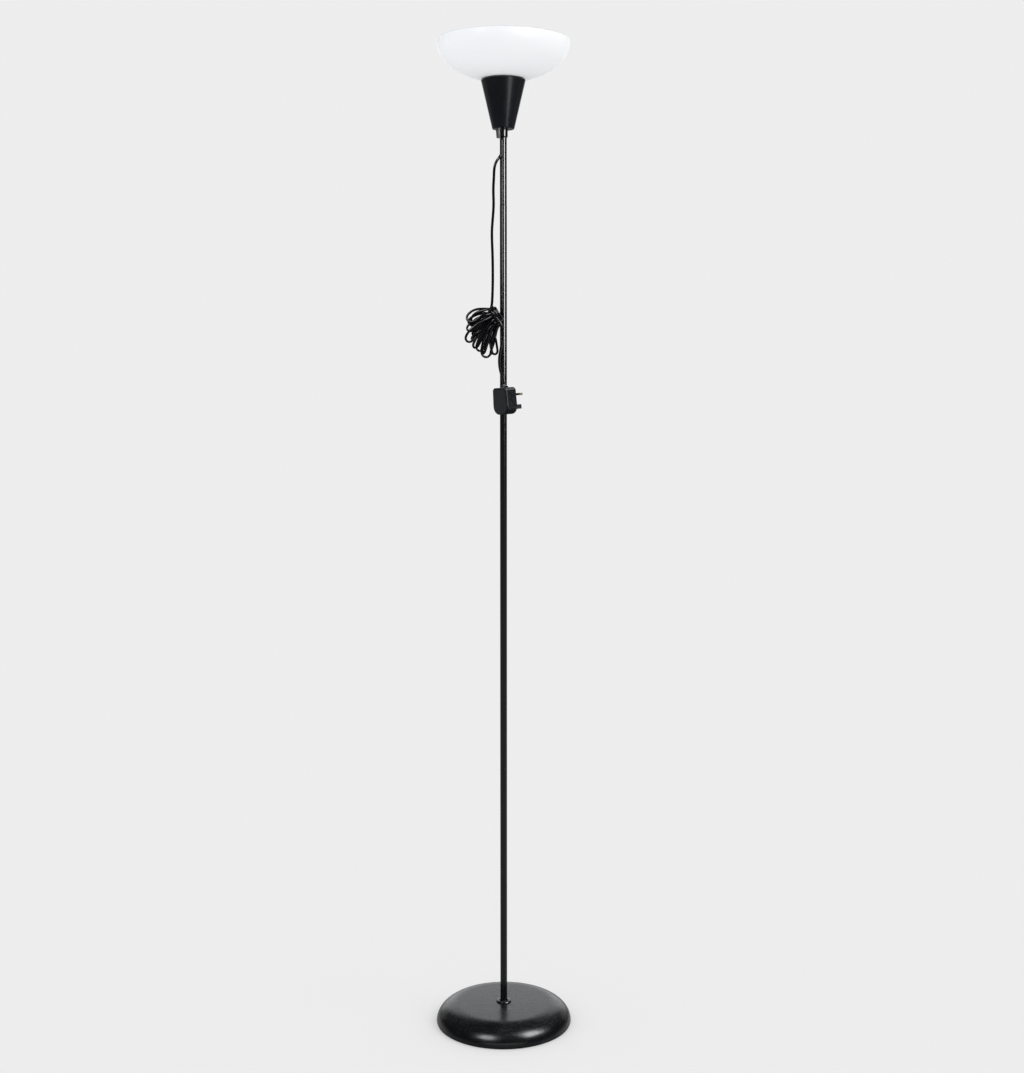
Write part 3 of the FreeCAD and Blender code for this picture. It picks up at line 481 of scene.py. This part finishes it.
def base_gloss():
    """Gloss black moulding, dusty and smudged on top, with faint scratches."""
    shader = Shader("base_gloss", IOR=1.5)
    dust = shader.noise(460.0, detail=2.0, roughness=0.7)
    patches = shader.noise(17.0, detail=5.0, distortion=0.6)
    smudge = shader.noise(34.0, detail=3.0, stretch=(1.0, 2.6, 1.0), distortion=1.4)
    scratch = shader.cells(30.0, "DISTANCE_TO_EDGE", stretch=(0.5, 3.6, 1.0))
    lines = shader.spread(scratch, 0.0, 0.012, 1.0, 0.0)
    up = shader.up_facing(0.55, 0.99)
    worn = shader.maths("MULTIPLY", lines, shader.spread(patches, 0.50, 0.66))
    faint = shader.maths("MULTIPLY", worn, up)
    specks = shader.spread(dust, 0.60, 0.80)
    overlay = shader.spread(patches, 0.30, 0.75, 0.10, 0.70)
    grime = shader.maths("MULTIPLY", shader.maths("ADD", shader.maths("MULTIPLY", specks, overlay), overlay), up)
    black = shader.mix(patches, (0.0026, 0.0029, 0.0034), (0.0050, 0.0054, 0.0062))
    dusty = shader.mix(shader.spread(grime, 0.0, 1.6, 0.0, 0.20), black, (0.10, 0.105, 0.11))
    shader.colour(shader.mix(shader.spread(faint, 0.0, 1.0, 0.0, 0.35), dusty, (0.14, 0.14, 0.15)))
    clean = shader.spread(smudge, 0.3, 0.75, 0.20, 0.29)
    gloss = shader.maths("ADD", clean, shader.spread(grime, 0.0, 1.3, 0.0, 0.10))
    shader.rough(shader.maths("ADD", gloss, shader.spread(faint, 0.0, 1.0, 0.0, 0.15)))
    shader.bump(patches, 0.02, 0.002)
    shader.bump(faint, 0.04, 0.0002)
    return shader.material


def pole_gloss():
    """Black lacquer on steel tube, with a little handling haze."""
    shader = Shader("pole_gloss", IOR=1.52)
    fine = shader.noise(520.0, detail=2.0)
    haze = shader.noise(9.0, detail=4.0, stretch=(1.0, 1.0, 0.25))
    shader.colour(shader.mix(haze, (0.0026, 0.0028, 0.0040), (0.0060, 0.0063, 0.0085)))
    shader.rough(shader.spread(shader.maths("ADD", haze, fine), 0.7, 1.3, 0.15, 0.19))
    return shader.material


def cup_satin():
    """Satin black cup: fine spark grain and a cloudy sheen."""
    return grained("cup_satin", (0.0018, 0.0025, 0.0046), (0.0034, 0.0044, 0.0078), 1300.0,
                   (0.25, 0.34), 0.03, IOR=1.46, Specular_IOR_Level=0.38)


SHADE_GLOW = 0.115         # painted glow on the outside of the opal wall, standing in for daylight that comes through it from above


def shade_opal():
    """Opal white moulding, glossy outside, with dust specks; painted shade inside the bowl, a darker copy
    of the white where the surface faces up; and a painted glow on the outside, standing in for light
    through the wall.
    """
    shader = Shader("shade_opal", IOR=1.49, Specular_IOR_Level=0.25, Subsurface_Weight=0.35,
                    Subsurface_Radius=(1.0, 1.0, 1.0), Subsurface_Scale=0.004)
    cloud = shader.noise(14.0, detail=4.0)
    fine = shader.noise(240.0, detail=3.0)
    specks = shader.spread(shader.noise(700.0, detail=1.0, roughness=0.3), 0.70, 0.78)
    inside = shader.up_facing(0.0, 0.45)
    milk = shader.mix(shader.spread(cloud, 0.3, 0.7), (0.855, 0.867, 0.886), (0.875, 0.886, 0.902))
    # painted shade: surfaces that face up, chiefly the inside of the bowl, get a darker copy of the white
    overlay = shader.mix(shader.spread(cloud, 0.3, 0.7), (0.69, 0.70, 0.715), (0.735, 0.745, 0.755))
    wall = shader.mix(inside, milk, overlay)
    shader.colour(shader.mix(shader.maths("MULTIPLY", specks, 0.25), wall, (0.50, 0.50, 0.50)))
    shader.rough(shader.spread(shader.maths("ADD", cloud, fine), 0.7, 1.3, 0.30, 0.42))
    shader.bump(fine, 0.02, 0.0002)
    shader.principled.inputs["Emission Color"].default_value = (0.97, 0.98, 1.0, 1.0)
    # painted glow: surfaces that do not face up give off light, standing in for light that comes through
    # the opal wall
    glow = shader.spread(inside, 0.0, 1.0, SHADE_GLOW, 0.0)
    shader.join(glow, shader.principled.inputs["Emission Strength"])
    return shader.material


def globe_opal():
    """Opal diffuser of the bulb."""
    return grained("globe_opal", (0.86, 0.86, 0.83), (0.91, 0.91, 0.89), 500.0, (0.30, 0.42), 0.03,
                   Subsurface_Weight=0.3, Subsurface_Radius=(1.0, 1.0, 1.0), Subsurface_Scale=0.004)


def white_plastic():
    return grained("white_plastic", (0.70, 0.70, 0.68), (0.80, 0.80, 0.77), 800.0, (0.34, 0.48), 0.06)


def black_plastic():
    return grained("black_plastic", (0.0040, 0.0042, 0.0050), (0.0085, 0.0086, 0.0100), 900.0,
                   (0.25, 0.38), 0.06)


def plug_plastic():
    """Moulded plug: fine spark grain."""
    return grained("plug_plastic", (0.0066, 0.0068, 0.0088), (0.0100, 0.0102, 0.0128), 1100.0,
                   (0.26, 0.38), 0.06, IOR=1.5)


def earth_plastic():
    return grained("earth_plastic", (0.018, 0.018, 0.021), (0.036, 0.036, 0.040), 900.0, (0.35, 0.5), 0.1)


def cord_pvc():
    """Black cord sheath, semi-gloss, slightly greasy and dusty in patches."""
    shader = Shader("cord_pvc", IOR=1.5)
    patch = shader.noise(60.0, detail=4.0)
    fine = shader.noise(1500.0, detail=2.0)
    dusty = shader.spread(patch, 0.35, 0.7)
    shader.colour(shader.mix(dusty, (0.0026, 0.0027, 0.0036), (0.0065, 0.0066, 0.0078)))
    shader.rough(shader.spread(shader.maths("ADD", patch, fine), 0.7, 1.3, 0.13, 0.18))
    return shader.material


def lead_sleeve():
    return grained("lead_sleeve", (0.050, 0.025, 0.012), (0.090, 0.050, 0.025), 900.0, (0.35, 0.5), 0.05)


def felt_pad():
    """Dark felt: matted fibres."""
    shader = Shader("felt_pad", Sheen_Weight=0.4, Sheen_Roughness=0.6)
    fibre = shader.noise(900.0, detail=6.0, roughness=0.8, distortion=1.5)
    tuft = shader.cells(420.0)
    shader.colour(shader.mix(shader.spread(fibre, 0.35, 0.7), (0.015, 0.015, 0.016), (0.060, 0.058, 0.055)))
    shader.rough(shader.spread(tuft, 0.0, 0.8, 0.85, 1.0))
    shader.bump(fibre, 0.5, 0.0006)
    return shader.material


def iron_weight():
    """Rough sand-cast iron with a few rust blooms."""
    shader = Shader("iron_weight", Metallic=0.6)
    sand = shader.noise(330.0, detail=5.0, roughness=0.7)
    bloom = shader.noise(22.0, detail=6.0)
    shader.colour(shader.mix(shader.spread(bloom, 0.56, 0.70), (0.055, 0.055, 0.058), (0.14, 0.055, 0.025)))
    shader.rough(shader.spread(sand, 0.3, 0.7, 0.55, 0.8))
    shader.bump(sand, 0.6, 0.0008)
    return shader.material


def brushed(name, dark, light, rough=(0.22, 0.40)):
    """Sheet or bar metal with fine turned marks and dull patches."""
    shader = Shader(name, Metallic=1.0)
    marks = shader.noise(180.0, detail=4.0, stretch=(0.4, 0.4, 9.0))
    dull = shader.noise(120.0, detail=4.0)
    shader.colour(shader.mix(shader.spread(dull, 0.35, 0.7), dark, light))
    shader.rough(shader.spread(shader.maths("ADD", marks, dull), 0.7, 1.3, *rough))
    shader.bump(marks, 0.06, 0.0001)
    return shader.material


def zinc_steel():
    return brushed("zinc_steel", (0.36, 0.37, 0.38), (0.58, 0.59, 0.60))


def brass_contact():
    return brushed("brass_contact", (0.50, 0.36, 0.16), (0.78, 0.60, 0.32))


def nickel_cap():
    return brushed("nickel_cap", (0.50, 0.50, 0.48), (0.72, 0.72, 0.70), rough=(0.16, 0.32))


def ceramic():
    return grained("ceramic", (0.70, 0.68, 0.63), (0.82, 0.80, 0.76), 300.0, (0.12, 0.25), 0.03,
                   Coat_Weight=0.5)


def vitrite():
    return grained("vitrite", (0.008, 0.008, 0.012), (0.020, 0.018, 0.025), 400.0, (0.10, 0.2), 0.02)


def board_white():
    """White solder mask with yellow phosphor on the emitters, which stand proud of it."""
    shader = Shader("board_white", IOR=1.5)
    fine = shader.noise(700.0, detail=3.0)
    where = shader.node("ShaderNodeTexCoord")
    parts = shader.node("ShaderNodeSeparateXYZ")
    shader.join(where.outputs["Object"], parts.inputs[0])
    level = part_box("led_board")[1].z
    emitter = shader.spread(parts.outputs["Z"], level - 0.5 * MM, level - 0.1 * MM)
    mask = shader.mix(shader.spread(fine, 0.3, 0.7), (0.72, 0.74, 0.70), (0.82, 0.84, 0.80))
    shader.colour(shader.mix(emitter, mask, (0.85, 0.62, 0.10)))
    shader.rough(shader.spread(fine, 0.3, 0.7, 0.28, 0.42))
    shader.bump(fine, 0.05, 0.0001)
    return shader.material


MAKERS = [base_gloss, pole_gloss, cup_satin, shade_opal, globe_opal, white_plastic, black_plastic,
          plug_plastic, earth_plastic, cord_pvc, lead_sleeve, felt_pad, iron_weight, zinc_steel,
          brass_contact, nickel_cap, ceramic, vitrite, board_white]


def dress(obj, material):
    """Puts one material on every slot of an object."""
    if not obj.material_slots:
        obj.data.materials.append(material)
    for held in obj.material_slots:
        held.material = material


def paint_nodes():
    """Gives every CAD node the finish of its material slot in the record."""
    made = {maker.__name__: maker() for maker in MAKERS}
    for entry in frame["record"]["subparts"]:
        dress(NODES[entry["node"]], made[entry["material_slot"]])
    return made


# ---------------------------------------------------------------- stage
PAPER = 0.850              # radiance of the seamless pale surroundings
FLOOR_GLOW = 0.30
FLOOR_RADIUS = 60.0
EVEN_LIGHT = 1.02          # even light on surfaces, cooler from the left than from the right
LEFT_TINT = (0.905, 0.925, 0.955)
RIGHT_TINT = (1.0, 1.0, 0.995)
BOX_TINT = (0.97, 0.985, 1.0)
SUN_STRENGTH = 0.5         # one wide soft light from the front right, for the faint shadow
SUN_SPREAD = 28.0
SUN_PLACE = (1.9, -0.9, 2.6)
SUN_AIM = (0.0, 0.0, 0.6)

# Soft boxes in the room, seen in reflections only: bearing from the camera's side (right is
# positive) and elevation of the middle, half widths and softness in degrees, and radiance
REFLECTED_BOXES = [
    (64.0, 49.0, 12.0, 6.0, 12.0, 14.0),
    (-34.0, 44.0, 7.0, 5.0, 12.0, 10.0),
    (77.0, -22.0, 6.0, 4.0, 10.0, 0.6),
    (0.0, -17.0, 180.0, 7.0, 10.0, 0.24),
    (130.0, -16.0, 30.0, 5.0, 14.0, 0.45),
    (-140.0, -12.0, 30.0, 6.0, 12.0, 0.4),
    (180.0, 17.0, 20.0, 13.0, 14.0, 1.15),
]
ROOM_GLOSS = 0.03          # the dark rest of the room, in reflections

# Soft boxes that only some pieces reflect: whose, bearing, height of the middle, width,
# height and radiance
STRIP_DISTANCE = 2.0
STRIP_BOXES = [
    ("upright", 39.0, 1.74, 0.84, 0.95, 20.0),
    ("upright", -38.0, 1.86, 0.46, 0.70, 9.0),
    ("moulded", 37.0, 1.74, 0.40, 0.95, 13.0),
    ("base", -150.0, 0.45, 1.40, 0.70, 0.30),
    ("base", 150.0, 0.45, 1.40, 0.70, 0.36),
    ("base", 0.0, 0.20, 2.60, 0.36, 0.90),
]


class Sky:
    """Small helper that builds the world's node tree."""

    def __init__(self):
        world = bpy.data.worlds.new("world")
        bpy.context.scene.world = world
        world.use_nodes = True
        world.cycles.sampling_method = "NONE"
        self.tree = world.node_tree
        self.tree.nodes.clear()
        where = self.node("ShaderNodeTexCoord")
        parts = self.node("ShaderNodeSeparateXYZ")
        self.join(where.outputs["Generated"], parts.inputs[0])
        self.x, y, z = parts.outputs
        facing = self.maths("MULTIPLY", y, -1.0)
        self.bearing = self.maths("DEGREES", self.maths("ARCTAN2", self.x, facing))
        self.height = self.maths("DEGREES", self.maths("ARCSINE", z))

    def node(self, kind, **settings):
        made = self.tree.nodes.new(kind)
        for key, value in settings.items():
            setattr(made, key, value)
        return made

    def join(self, output, target):
        self.tree.links.new(output, target)

    def maths(self, operation, *values):
        made = self.node("ShaderNodeMath", operation=operation)
        for socket, value in zip(made.inputs, values):
            if isinstance(value, float):
                socket.default_value = value
            else:
                self.join(value, socket)
        return made.outputs[0]

    def inside(self, value, centre, half, soft):
        """One within a half width of a centre, falling softly to nought outside it."""
        away = self.maths("ABSOLUTE", self.maths("SUBTRACT", value, centre))
        made = self.node("ShaderNodeMapRange", interpolation_type="SMOOTHSTEP")
        for socket, number in zip(RANGE_SOCKETS, (half, half + soft, 1.0, 0.0)):
            made.inputs[socket].default_value = number
        self.join(away, made.inputs["Value"])
        return made.outputs["Result"]

    def turned_away(self, centre):
        """Bearing measured from a centre, wrapped to within half a turn."""
        return self.maths("WRAP", self.maths("SUBTRACT", self.bearing, centre), 180.0, -180.0)

    def boxes(self):
        total = None
        for bearing, height, half_wide, half_high, soft, strength in REFLECTED_BOXES:
            wide = self.inside(self.turned_away(bearing), 0.0, half_wide, soft)
            high = self.inside(self.height, height, half_high, soft)
            lit = self.maths("MULTIPLY", self.maths("MULTIPLY", wide, high), strength)
            total = lit if total is None else self.maths("MAXIMUM", total, lit)
        return self.maths("ADD", total, ROOM_GLOSS)

    def background(self, colour, strength):
        made = self.node("ShaderNodeBackground")
        if isinstance(colour, tuple):
            made.inputs["Color"].default_value = (*colour, 1.0)
        else:
            self.join(colour, made.inputs["Color"])
        if isinstance(strength, float):
            made.inputs["Strength"].default_value = strength
        else:
            self.join(strength, made.inputs["Strength"])
        return made.outputs[0]

    def choose(self, factor, first, second):
        made = self.node("ShaderNodeMixShader")
        self.join(factor, made.inputs["Fac"])
        self.join(first, made.inputs[1])
        self.join(second, made.inputs[2])
        return made.outputs[0]


def make_world():
    """Pale paper to the camera, even soft light on surfaces, soft boxes in reflections."""
    sky = Sky()
    side = sky.node("ShaderNodeMapRange")
    for socket, number in zip(("From Min", "From Max"), (-0.8, 0.8)):
        side.inputs[socket].default_value = number
    sky.join(sky.x, side.inputs["Value"])
    tint = sky.node("ShaderNodeMix", data_type="RGBA")
    sky.join(side.outputs["Result"], tint.inputs["Factor"])
    tint.inputs[6].default_value = (*LEFT_TINT, 1.0)
    tint.inputs[7].default_value = (*RIGHT_TINT, 1.0)
    even = sky.background(tint.outputs[2], EVEN_LIGHT)
    gloss = sky.background(BOX_TINT, sky.boxes())
    seen = sky.background((1.0, 1.0, 1.0), PAPER)
    rays = sky.node("ShaderNodeLightPath")
    lit = sky.choose(rays.outputs["Is Glossy Ray"], even, gloss)
    out = sky.node("ShaderNodeOutputWorld")
    sky.join(sky.choose(rays.outputs["Is Camera Ray"], lit, seen), out.inputs["Surface"])


def make_floor():
    """Seamless pale floor, which gives back some of the room's light and takes a faint shadow."""
    mesh = bmesh.new()
    bmesh.ops.create_circle(mesh, cap_ends=True, segments=96, radius=FLOOR_RADIUS)
    floor = mesh_object("floor", mesh, smooth=False)
    shader = Shader("floor", Roughness=1.0)
    paper = shader.noise(0.9, detail=3.0)
    shader.colour(shader.mix(paper, (0.505, 0.499, 0.494), (0.511, 0.505, 0.500)))
    shader.principled.inputs["Emission Color"].default_value = (1.0, 1.0, 1.0, 1.0)
    shader.principled.inputs["Emission Strength"].default_value = FLOOR_GLOW
    shader.principled.inputs["Specular IOR Level"].default_value = 0.0
    dress(floor, shader.material)
    floor.visible_glossy = False


def aimed(name, kind, place, target):
    """New light that points from a place to a target."""
    data = bpy.data.lights.new(name, kind)
    light = bpy.data.objects.new(name, data)
    light.location = place
    light.rotation_euler = (Vector(target) - Vector(place)).to_track_quat("-Z", "Y").to_euler()
    bpy.context.scene.collection.objects.link(light)
    return light


def strip_box(bearing, height, width, tall, radiance, receivers):
    """Area light that shows only as a highlight, and only on some pieces."""
    angle = math.radians(bearing)
    place = (STRIP_DISTANCE * math.sin(angle), -STRIP_DISTANCE * math.cos(angle), height)
    light = aimed("strip", "AREA", place, (0.0, 0.0, height))
    light.data.shape = "RECTANGLE"
    light.data.size = width
    light.data.size_y = tall
    light.data.energy = radiance * math.pi * width * tall
    light.visible_camera = False
    light.visible_diffuse = False
    light.light_linking.receiver_collection = receivers


def group_of(name):
    """Which of the soft boxes' groups a CAD node belongs to."""
    if name.startswith("base_"):
        return "base"
    return "moulded" if name.startswith(("head_cup", "plug_")) else "upright"


def make_lights():
    sun = aimed("sun", "SUN", SUN_PLACE, SUN_AIM)
    sun.data.energy = SUN_STRENGTH
    sun.data.angle = math.radians(SUN_SPREAD)
    sun.visible_glossy = False
    groups = {name: bpy.data.collections.new(name) for name in ("upright", "moulded", "base")}
    for name in NODES:
        groups[group_of(name)].objects.link(NODES[name])
    for whose, *box in STRIP_BOXES:
        strip_box(*box, groups[whose])


def make_stage():
    make_floor()
    make_world()
    make_lights()
    bpy.context.scene.view_settings.view_transform = "Standard"


# ---------------------------------------------------------------- the scene
make_camera()
cord = make_cord()
finishes = paint_nodes()
dress(cord, finishes["cord_pvc"])
make_stage()
